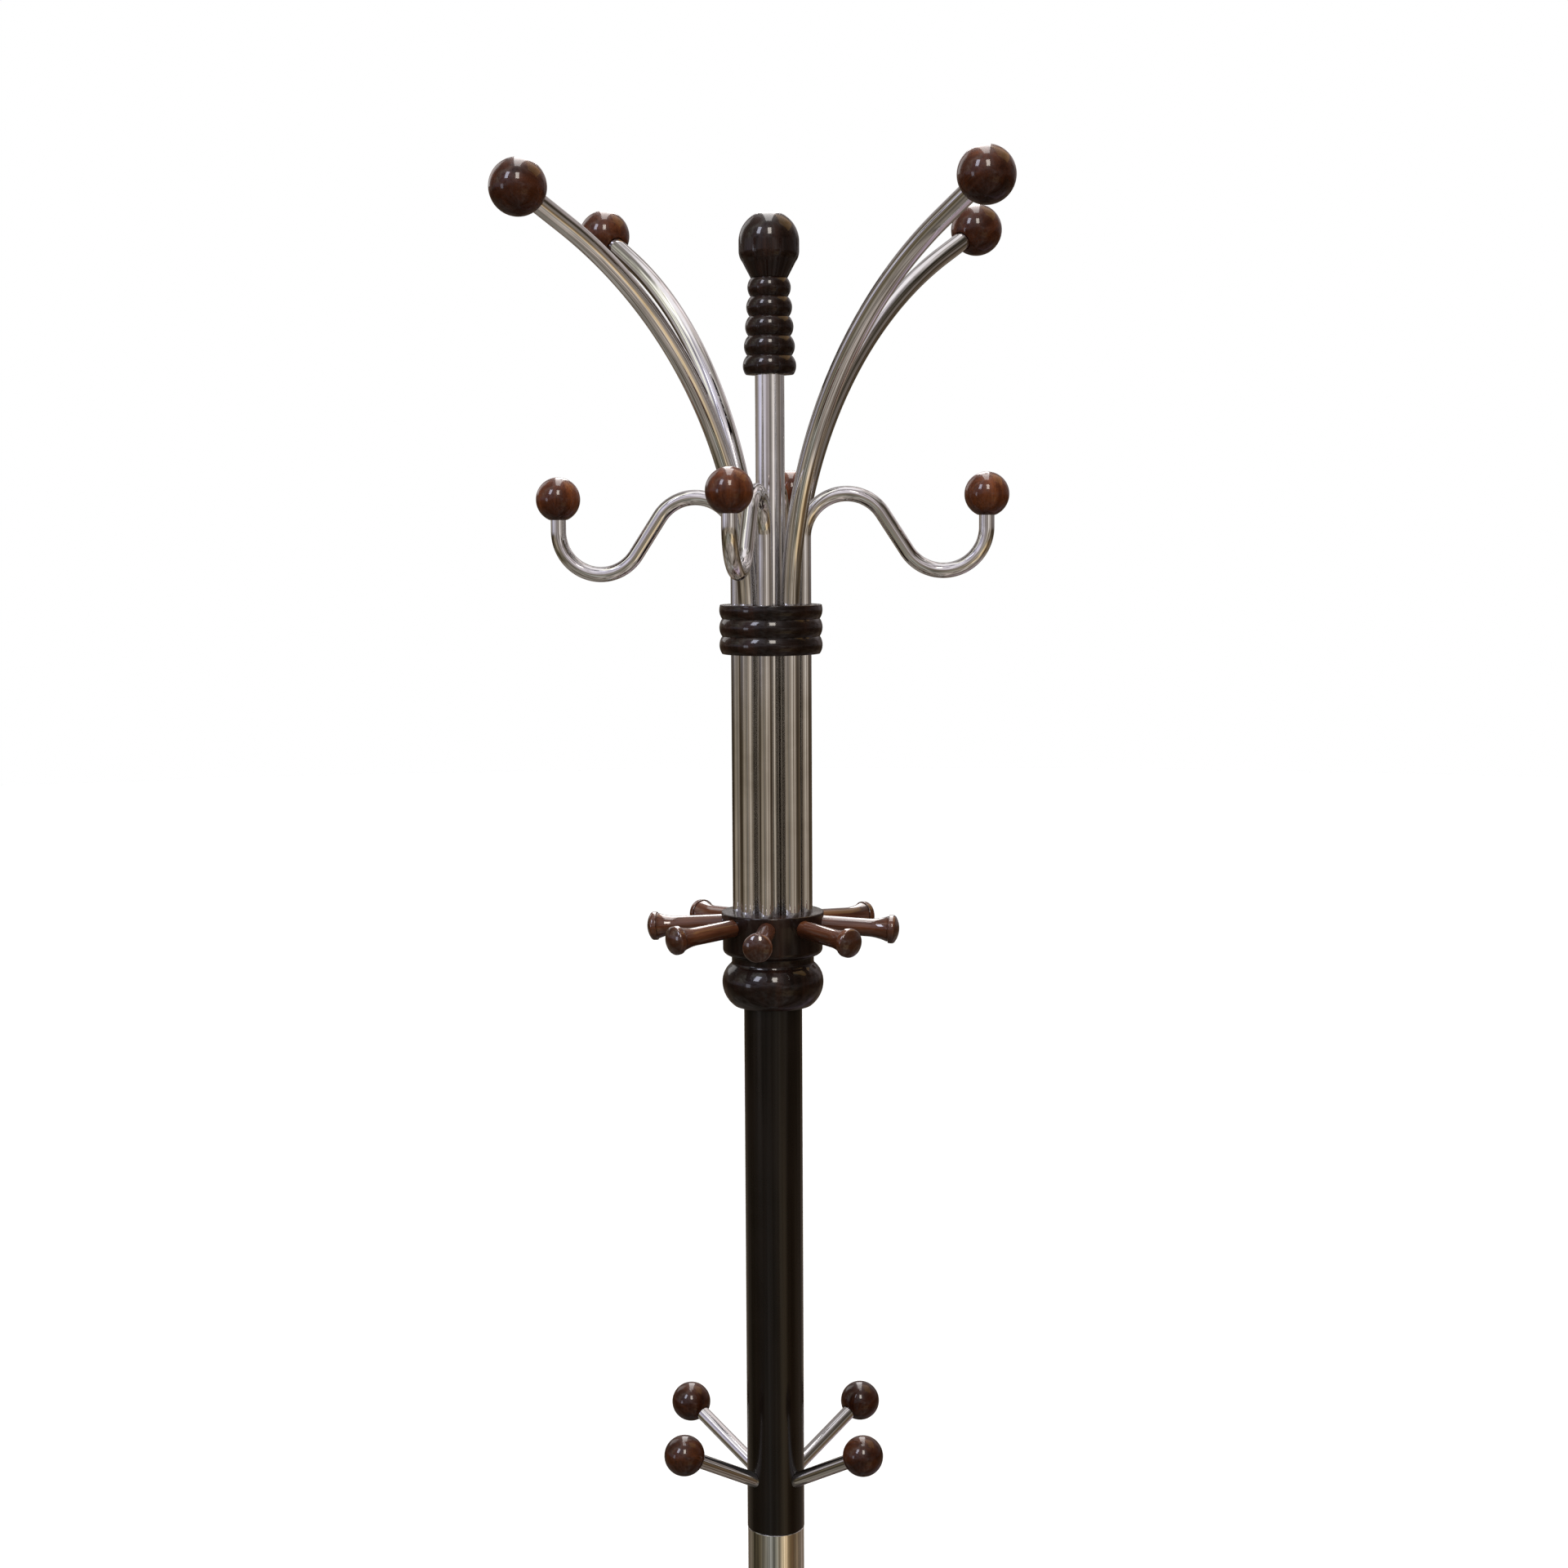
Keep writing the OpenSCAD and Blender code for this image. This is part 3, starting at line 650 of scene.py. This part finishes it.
def ball_outline(d, rod_d):
    """A ball about the origin, bored from below for its rod and for the screw beyond it."""
    r, bore = d / 2, rod_d / 2 + SLIP
    rod_end = BALL_SOCKET - r
    screw_r = BALL_SCREW_R + SLIP
    tip = rod_end + BALL_SCREW_L + SEAT
    mouth = bore + 0.5
    start = -math.degrees(math.acos(mouth / r))
    mouth_z = r * math.sin(math.radians(start))
    seat_z = rod_end + SEAT
    out = [(0, tip), (screw_r, tip), (screw_r, seat_z), (bore, seat_z), (bore, mouth_z + 0.5)]
    out += arc(0, 0, r, start, 90, 72)
    return out[:-1] + [(0, r)]


def bend_steps(x, z, start, turn, radius, sign, count):
    """Path points round a bend from (x, z) and the heading start, which turns by turn degrees."""
    out = []
    for k in range(1, count + 1):
        a0, a1 = math.radians(start), math.radians(start + sign * turn * k / count)
        out.append((x + sign * radius * (math.cos(a0) - math.cos(a1)),
                    z + sign * radius * (math.sin(a1) - math.sin(a0)), math.degrees(a1)))
    return out


def straight(point, length, count=1):
    """Path points on a straight run that starts at point, without point."""
    x, z, a = point
    dx, dz = math.sin(math.radians(a)), math.cos(math.radians(a))
    steps = [length * k / count for k in range(1, count + 1)]
    return [(x + dx * step, z + dz * step, a) for step in steps]


def arm_path(extra):
    """An arm's path up to the seat in its ball, and the point at the middle of the ball."""
    start, tail = (ARM_R, socket_lo, 0.0), ARM_TAIL + extra
    path = [start] + straight(start, collar_hi - ARM_BEND_DROP - socket_lo, 24)
    path += bend_steps(path[-1][0], path[-1][1], 0, ARM_BEND, ARM_BEND_R, 1, 80)
    to_seat = tail + BALL_SOCKET - ARM_BALL_D / 2
    return path + straight(path[-1], to_seat, 4), straight(path[-1], tail)[0]


def hook_path(extra):
    """An S hook's path up to the seat in its ball, and the point at the middle of the ball."""
    start = (HOOK_R, socket_lo, 0.0)
    path = [start] + straight(start, collar_hi + HOOK_RISE + extra - socket_lo, 24)
    path += bend_steps(path[-1][0], path[-1][1], 0, HOOK_TURN, HOOK_BEND_R, 1, 56)
    path += straight(path[-1], HOOK_FALL, 6)
    path += bend_steps(path[-1][0], path[-1][1], HOOK_TURN, HOOK_TURN, HOOK_BEND_R, -1, 56)
    to_seat = HOOK_TAIL + BALL_SOCKET - HOOK_BALL_D / 2
    return path + straight(path[-1], to_seat, 3), straight(path[-1], HOOK_TAIL)[0]


def ball_at(b, point):
    """Places a ball at a path's point, with the rod coming from below."""
    x, z, a = point
    return bearing(b) @ move(x, 0, z) @ tilt(a)


for i, b in enumerate(ARM_BEARINGS, 1):
    path, middle = arm_path(ARM_EXTRA[i - 1])
    tube = sweep(f"arm_{i}_tube", path, ARM_D / 2, 48)
    piece(tube, CHROME, "chrome", f"arm_{i}", at=bearing(b))
    ball = lathe(f"arm_ball_{i}_turned", ball_outline(ARM_BALL_D, ARM_D), 112)
    piece(ball, ARM_BALL_WOOD_PAINTED_LIGHT, "ball_wood", f"arm_ball_{i}", at=ball_at(b, middle))

for i, b in enumerate(HOOK_BEARINGS, 1):
    path, middle = hook_path(HOOK_EXTRA[i - 1])
    rod = sweep(f"s_hook_{i}_rod", path, HOOK_D / 2, 44)
    piece(rod, CHROME, "chrome", f"s_hook_{i}", at=bearing(b))
    ball = lathe(f"s_hook_ball_{i}_turned", ball_outline(HOOK_BALL_D, HOOK_D), 104)
    piece(ball, HOOK_BALL_WOOD_PAINTED_LIGHT, "ball_wood", f"s_hook_ball_{i}", at=ball_at(b, middle))

lower_lo, joint_z = z_range("lower_pole")
low_l = (LOW_BALL_R - LOW_FOOT_R) / math.cos(math.radians(LOW_TILT))


def low_place(b):
    """The middle of a low ball, with the rod coming from below."""
    return bearing(b) @ move(LOW_BALL_R, 0, joint_z + LOW_BALL_RISE) @ tilt(90 - LOW_TILT)


def low_rod_outline():
    """A straight rod with broken edges, and the screw on its end."""
    r, end, edge = LOW_D / 2, BALL_SOCKET - LOW_BALL_D / 2, 0.4
    tip = end + BALL_SCREW_L
    out = [(0, -low_l), (r - edge, -low_l), (r, -low_l + edge)]
    out += line((r, -low_l + 1), (r, end - edge), 12)
    out += [(r, end - edge), (r - edge, end), (BALL_SCREW_R, end), (BALL_SCREW_R, tip - edge)]
    return out + [(BALL_SCREW_R - edge, tip), (0, tip)]


for i, b in enumerate(LOW_BEARINGS, 1):
    rod = lathe(f"low_hook_{i}_rod", low_rod_outline(), 44)
    piece(rod, CHROME, "chrome", f"low_hook_{i}", at=low_place(b))
    ball = lathe(f"low_hook_ball_{i}_turned", ball_outline(LOW_BALL_D, LOW_D), 96)
    piece(ball, LOW_BALL_WOOD_PAINTED_SHADE, "ball_wood", f"low_hook_ball_{i}", at=low_place(b))


# ---------- poles ----------

def tube_outline(lo, hi, r, edge=0.3):
    """A tube's section from lo to hi, with its outer edges broken."""
    out = [(r - WALL, lo), (r - edge, lo)] + line((r, lo + edge), (r, hi - edge), 30)
    return out + [(r, hi - edge), (r - edge, hi), (r - WALL, hi)]


lower = lathe("lower_pole_tube", tube_outline(lower_lo, joint_z, POLE_R), closed=True)
piece(lower, CHROME, "chrome", "lower_pole")

low_hole_l = 40
upper_outline = tube_outline(*z_range("upper_pole"), UPPER_POLE_R, edge=0.5)
upper = lathe("upper_pole_tube", upper_outline, closed=True)
drill(upper, [(low_place(b) @ move(0, 0, -low_l), LOW_D / 2 + SLIP, low_hole_l)
              for b in LOW_BEARINGS])
piece(upper, TUBE_LACQUER, "dark_lacquer", "upper_pole")

centre = lathe("centre_pole_tube", tube_outline(*z_range("centre_pole"), CENTRE_D / 2), 96, True)
piece(centre, CHROME, "chrome", "centre_pole")


# ---------- base ----------

FLANGE_R, LIP_H, LIP_R, COVE_X, COVE_FOOT_R, CONE_TOP_R = 56.0, 3.0, 1.7, 50.0, 45.8, 28.6
DISC_R, DISC_EDGE_R, BOLT_HOLE_R, RECESS_R, RECESS_H = 190, 9, 6.5, 21.0, 14
FOOT_R, FOOT_EDGE_R, FOOT_CIRCLE_R = 16, 1.4, 150


def flange_outline(h):
    """A thin rounded lip, and a hollow cone that rises to the pole."""
    bore = POLE_R + SLIP
    cove_r = h + 2.5
    cove_z = cove_r + 2.5
    top = 180 + math.degrees(math.asin((cove_z - h + 0.3) / cove_r))
    foot = 270 - math.degrees(math.asin(4.6 / cove_r))
    out = [(bore, 0), (FLANGE_R - 0.4, 0), (FLANGE_R, 0.5)]
    out += arc(FLANGE_R - LIP_R, LIP_H / 2, LIP_R, -10, 78, 8)
    out += [(COVE_X + 0.5, LIP_H), (COVE_FOOT_R, LIP_H)]
    out += arc(COVE_X, cove_z, cove_r, foot, top, 28)
    return out + [(CONE_TOP_R, h), (bore, h)]


def disc_outline(lo, hi):
    """A stone disc with a round upper edge, bored and recessed for the bolt."""
    edge = 1.4
    out = [(BOLT_HOLE_R, lo + RECESS_H), (RECESS_R, lo + RECESS_H), (RECESS_R, lo)]
    out += line((RECESS_R + 1, lo), (DISC_R - 2, lo), 6)
    out += [(DISC_R - edge, lo), (DISC_R, lo + edge)]
    out += line((DISC_R, lo + 2), (DISC_R, hi - DISC_EDGE_R), 3)
    out += arc(DISC_R - DISC_EDGE_R, hi - DISC_EDGE_R, DISC_EDGE_R, 0, 90, 18)
    out += line((DISC_R - DISC_EDGE_R - 3, hi), (BOLT_HOLE_R + 1.5, hi), 12)
    return out + [(BOLT_HOLE_R, hi)]


def rubber_outline(top):
    """A rubber foot with a shallow hollow in its sole."""
    rim_r = FOOT_R - FOOT_EDGE_R
    out = [(0, 0.6), (9, 0.6), (10, 0), (rim_r, 0)]
    return out + arc(rim_r, FOOT_EDGE_R, FOOT_EDGE_R, -90, 0, 6) + [(FOOT_R, top), (0, top)]


flange_lo, flange_hi = z_range("base_flange")
flange = lathe("base_flange_spun", flange_outline(flange_hi - flange_lo), 160, True)
piece(flange, CHROME, "chrome", "base_flange", at=move(0, 0, flange_lo))

disc_lo, disc_hi = z_range("base_disc")
disc = lathe("base_disc_polished", disc_outline(disc_lo, disc_hi), 256, True)
foot_places = [Matrix.Rotation(math.radians(a), 4, "Z") @ move(FOOT_CIRCLE_R, 0, 0)
               for a in (45, 135, 225, 315)]
drill(disc, [(m @ move(0, 0, 1), FOOT_R + 2 * SLIP, disc_lo + 2) for m in foot_places])
piece(disc, STONE, "stone", "base_disc")

bm = bmesh.new()
for m in foot_places:
    add_lathe(bm, rubber_outline(z_range("rubber_feet")[1]), 64, False, m)
piece(finish_mesh(bm, "rubber_feet_moulded"), RUBBER, "rubber", "rubber_feet")

# The hidden hardware keeps its CAD shape
for name in ("base_bolt", "base_washer", "foot_plug", "pole_joiner", "pole_top_plug", "hub_stud",
             "centre_pole_plug", "arm_ball_plugs", "finial_plug"):
    for s in frame["nodes"][name].material_slots:
        s.material = STEEL


# ---------- stage ----------

def pale_floor(name):
    """An even pale floor with the faintest clouding."""
    grey, roughness = 0.95, 0.7
    mat, n, shader = new_material(name)
    tone = n.noise(n.coords((1, 1, 1)), 3.0, 3.0)
    colour = n.mix(n.span(tone, 0.3, 0.7, 0.0, 1.0), (grey,) * 3, (grey * 0.985,) * 3)
    n.link(colour, shader.inputs["Base Color"])
    shader.inputs["Roughness"].default_value = roughness
    return mat


bm = bmesh.new()
bmesh.ops.create_circle(bm, cap_ends=True, radius=14, segments=96)
floor = finish_mesh(bm, "floor")
floor.data.materials.append(pale_floor("pale_floor"))
floor.visible_glossy = False
floor.visible_diffuse = False


def area_light(name, azimuth, elevation, angles, radiance, colour, spread_light=False):
    """A far rectangular lamp, seen from the rack in the given direction and under the given angles.

    Azimuth 0 is the front, and a positive one lies to the right. All angles are in degrees.
    """
    distance, aim_z = 6.0, 1.5
    size = [2 * distance * math.tan(math.radians(v / 2)) for v in angles]
    data = bpy.data.lights.new(name, "AREA")
    data.shape = "RECTANGLE"
    data.size, data.size_y = size
    data.energy = radiance * math.pi * size[0] * size[1]
    data.color = colour
    ob = bpy.data.objects.new(name, data)
    scene.collection.objects.link(ob)
    a, e = math.radians(azimuth), math.radians(elevation)
    way = Vector((math.sin(a) * math.cos(e), -math.cos(a) * math.cos(e), math.sin(e)))
    ob.location = Vector((0, 0, aim_z)) + way * distance
    ob.rotation_euler = way.to_track_quat("Z", "Y").to_euler()
    ob.visible_camera = False
    ob.visible_diffuse = spread_light
    return ob


def group(name, keep):
    """A collection that only says which pieces a lamp reaches."""
    out = bpy.data.collections.new(name)
    for ob in scene.objects:
        if ob.type == "MESH" and keep(ob.material_slots[0].material):
            out.objects.link(ob)
    return out


metal = group("chrome_pieces", lambda m: m == CHROME)
lacquer = group("other_pieces", lambda m: m != CHROME)
WARM, COOL = (1.0, 0.93, 0.85), (0.80, 0.83, 1.0)
WHITE, AMBER = (1.0, 0.98, 0.97), (1.0, 0.58, 0.18)

# The lamps that show in the lacquer would burn out the chrome, which has two narrow ones of its own
for lamp in (area_light("lamp_front", 3.6, 38, (12, 23), 22.0, WARM),
             area_light("lamp_left", -43, 38, (12, 23), 19.0, COOL),
             area_light("lamp_low_left", -58, 1, (11, 14), 5.0, COOL),
             area_light("lamp_far_left", -140, 26, (22, 34), 1.7, WHITE),
             area_light("lamp_amber", 118, 50, (48, 34), 1.3, AMBER),
             area_light("skylight", 180, 63, (19, 78), 9.0, WHITE)):
    lamp.light_linking.receiver_collection = lacquer
for lamp in (area_light("strip_front", 3.6, 38, (4, 14), 3.0, WARM),
             area_light("strip_left", -43, 38, (4, 14), 3.0, COOL)):
    lamp.light_linking.receiver_collection = metal
softbox = area_light("softbox_left", -35, 50, (30, 30), 1.6, WHITE, True)
softbox.visible_glossy = False


def build_world():
    """White to the camera, a soft light for colour, and a room of walls for reflections."""
    world = bpy.data.worlds.new("studio")
    scene.world = world
    world.use_nodes = True
    n = Nodes(world.node_tree)
    world.node_tree.nodes.clear()
    out = n.add("ShaderNodeOutputWorld")
    texco = n.add("ShaderNodeTexCoord")
    split = n.add("ShaderNodeSeparateXYZ")
    n.link(texco.outputs["Generated"], split.inputs["Vector"])
    x, y, z = (split.outputs[k] for k in "XYZ")
    turn = n.math("ARCTAN2", x, n.math("MULTIPLY", y, -1.0))
    around = n.span(turn, -math.pi, math.pi, 0.0, 1.0)

    def walls(*stops):
        """One height of the room, as (azimuth in degrees, colour) all the way round."""
        return n.ramp(around, [((a + 180) / 360, c) for a, c in stops], "EASE")

    def rise(lo, hi):
        """Goes smoothly from 0 to 1 where the direction's height goes from lo to hi."""
        lift = n.add("ShaderNodeMapRange", interpolation_type="SMOOTHSTEP")
        lift.inputs["From Min"].default_value = lo
        lift.inputs["From Max"].default_value = hi
        n.link(z, lift.inputs["Value"])
        return lift.outputs["Result"]

    ground = walls(
        (-180, (0.15, 0.12, 0.10)), (-110, (0.28, 0.26, 0.23)), (-75, (0.19, 0.17, 0.14)),
        (-45, (0.24, 0.21, 0.18)), (-12, (0.30, 0.27, 0.24)), (16, (0.44, 0.38, 0.34)),
        (38, (0.50, 0.46, 0.42)), (56, (0.27, 0.23, 0.20)), (68, (0.14, 0.11, 0.085)),
        (80, (0.19, 0.15, 0.12)), (108, (0.26, 0.22, 0.20)), (130, (0.44, 0.35, 0.42)),
        (155, (0.16, 0.13, 0.10)), (180, (0.15, 0.12, 0.10)))
    skirting = walls(
        (-180, (0.16, 0.12, 0.09)), (-125, (0.18, 0.15, 0.11)), (-98, (0.09, 0.075, 0.045)),
        (-70, (0.11, 0.09, 0.055)), (-48, (0.17, 0.155, 0.12)), (-22, (0.31, 0.31, 0.28)),
        (2, (0.27, 0.26, 0.21)), (14, (0.34, 0.29, 0.21)), (31, (0.82, 0.66, 0.43)),
        (43, (0.64, 0.48, 0.29)), (57, (0.18, 0.12, 0.06)), (72, (0.10, 0.06, 0.03)),
        (92, (0.18, 0.13, 0.08)), (130, (0.24, 0.19, 0.15)), (180, (0.16, 0.12, 0.09)))
    cabinets = walls(
        (-180, (0.09, 0.065, 0.04)), (-100, (0.055, 0.04, 0.025)), (-76, (0.17, 0.14, 0.10)),
        (-55, (0.36, 0.31, 0.25)), (-38, (0.17, 0.14, 0.10)), (-20, (0.38, 0.34, 0.29)),
        (-2, (0.20, 0.16, 0.12)), (17, (0.46, 0.41, 0.34)), (35, (0.20, 0.16, 0.12)),
        (52, (0.32, 0.27, 0.22)), (70, (0.13, 0.10, 0.07)), (96, (0.045, 0.032, 0.02)),
        (130, (0.09, 0.065, 0.04)), (180, (0.09, 0.065, 0.04)))
    windows = walls(
        (-180, (0.22, 0.19, 0.16)), (-140, (0.16, 0.12, 0.08)), (-110, (0.33, 0.30, 0.28)),
        (-86, (0.58, 0.57, 0.71)), (-62, (0.72, 0.70, 0.80)), (-42, (0.48, 0.45, 0.48)),
        (-20, (0.27, 0.24, 0.24)), (-6, (0.28, 0.245, 0.235)), (22, (0.78, 0.73, 0.70)),
        (38, (0.66, 0.61, 0.58)), (60, (0.25, 0.22, 0.20)), (84, (0.16, 0.135, 0.12)),
        (110, (0.24, 0.22, 0.22)), (150, (0.30, 0.26, 0.25)), (180, (0.22, 0.19, 0.16)))
    shelves = walls(
        (-180, (0.48, 0.45, 0.46)), (-140, (0.34, 0.31, 0.30)), (-110, (0.08, 0.06, 0.04)),
        (-80, (1.00, 1.00, 0.88)), (-58, (0.42, 0.40, 0.50)), (-32, (0.62, 0.59, 0.70)),
        (-10, (0.82, 0.78, 0.84)), (14, (0.62, 0.56, 0.59)), (36, (0.17, 0.14, 0.12)),
        (58, (0.050, 0.042, 0.030)), (86, (0.085, 0.068, 0.050)), (112, (0.28, 0.24, 0.23)),
        (142, (0.55, 0.50, 0.50)), (180, (0.42, 0.39, 0.37)))
    ceiling = walls(
        (-180, (0.72, 0.69, 0.69)), (-140, (0.38, 0.36, 0.36)), (-106, (0.18, 0.16, 0.14)),
        (-82, (0.30, 0.29, 0.27)), (-55, (1.90, 1.90, 1.75)), (-28, (0.60, 0.58, 0.66)),
        (15, (0.58, 0.54, 0.58)), (52, (0.50, 0.47, 0.47)), (85, (0.45, 0.42, 0.38)),
        (112, (0.72, 0.66, 0.64)), (140, (0.90, 0.81, 0.81)), (180, (0.72, 0.69, 0.69)))
    room = n.mix(rise(-0.62, -0.47), ground, skirting)
    room = n.mix(rise(-0.31, -0.19), room, cabinets)
    room = n.mix(rise(-0.09, 0.02), room, windows)
    room = n.mix(rise(0.06, 0.26), room, shelves)
    room = n.mix(rise(0.64, 0.80), room, ceiling)
    spot = n.add("ShaderNodeCombineXYZ")
    n.link(turn, spot.inputs["X"])
    n.link(n.math("MULTIPLY", z, 1.4), spot.inputs["Y"])
    shade, even, glare = (0.42, 0.41, 0.40), (0.92, 0.90, 0.88), (1.50, 1.50, 1.54)
    clutter = n.noise(spot.outputs["Vector"], 3.4, 3.0, 0.6, 0.4)
    clutter = n.ramp(clutter, [(0.38, shade), (0.48, even), (0.60, glare)])
    room = n.mix(1.0, room, clutter, "MULTIPLY")
    overhead = (1.15, 1.10, 1.14)
    room = n.mix(rise(0.92, 0.98), room, overhead)

    path = n.add("ShaderNodeLightPath")
    reflections = n.add("ShaderNodeBackground", in_Strength=1.0)
    n.link(room, reflections.inputs["Color"])
    soft = n.add("ShaderNodeBackground")
    n.link(n.span(rise(-0.1, 0.7), 0.0, 1.0, 0.04, 1.34), soft.inputs["Strength"])
    soft.inputs["Color"].default_value = (1.0, 1.0, 1.0, 1.0)
    white = n.add("ShaderNodeBackground", in_Strength=1.0)
    white.inputs["Color"].default_value = (1.0, 1.0, 1.0, 1.0)
    first = n.add("ShaderNodeMixShader")
    n.link(path.outputs["Is Glossy Ray"], first.inputs["Fac"])
    n.link(soft.outputs["Background"], first.inputs[1])
    n.link(reflections.outputs["Background"], first.inputs[2])
    last = n.add("ShaderNodeMixShader")
    n.link(path.outputs["Is Camera Ray"], last.inputs["Fac"])
    n.link(first.outputs["Shader"], last.inputs[1])
    n.link(white.outputs["Background"], last.inputs[2])
    n.link(last.outputs["Shader"], out.inputs["Surface"])


build_world()
scene.view_settings.view_transform = "Standard"


# ---------- camera ----------

CAMERA_AT = (0, -1.6075, 1.5855)
TURN, LOOK_DOWN, ROLL = -0.284, 6.16, -0.294  # degrees

camera_data = bpy.data.cameras.new("camera")
camera_data.sensor_width = 36.0
camera_data.lens = 56.5
camera = bpy.data.objects.new("camera", camera_data)
scene.collection.objects.link(camera)
camera.matrix_world = (Matrix.Translation(CAMERA_AT)
                       @ Matrix.Rotation(math.radians(TURN), 4, "Z")
                       @ Matrix.Rotation(math.radians(90 - LOOK_DOWN), 4, "X")
                       @ Matrix.Rotation(math.radians(ROLL), 4, "Z"))
scene.camera = camera
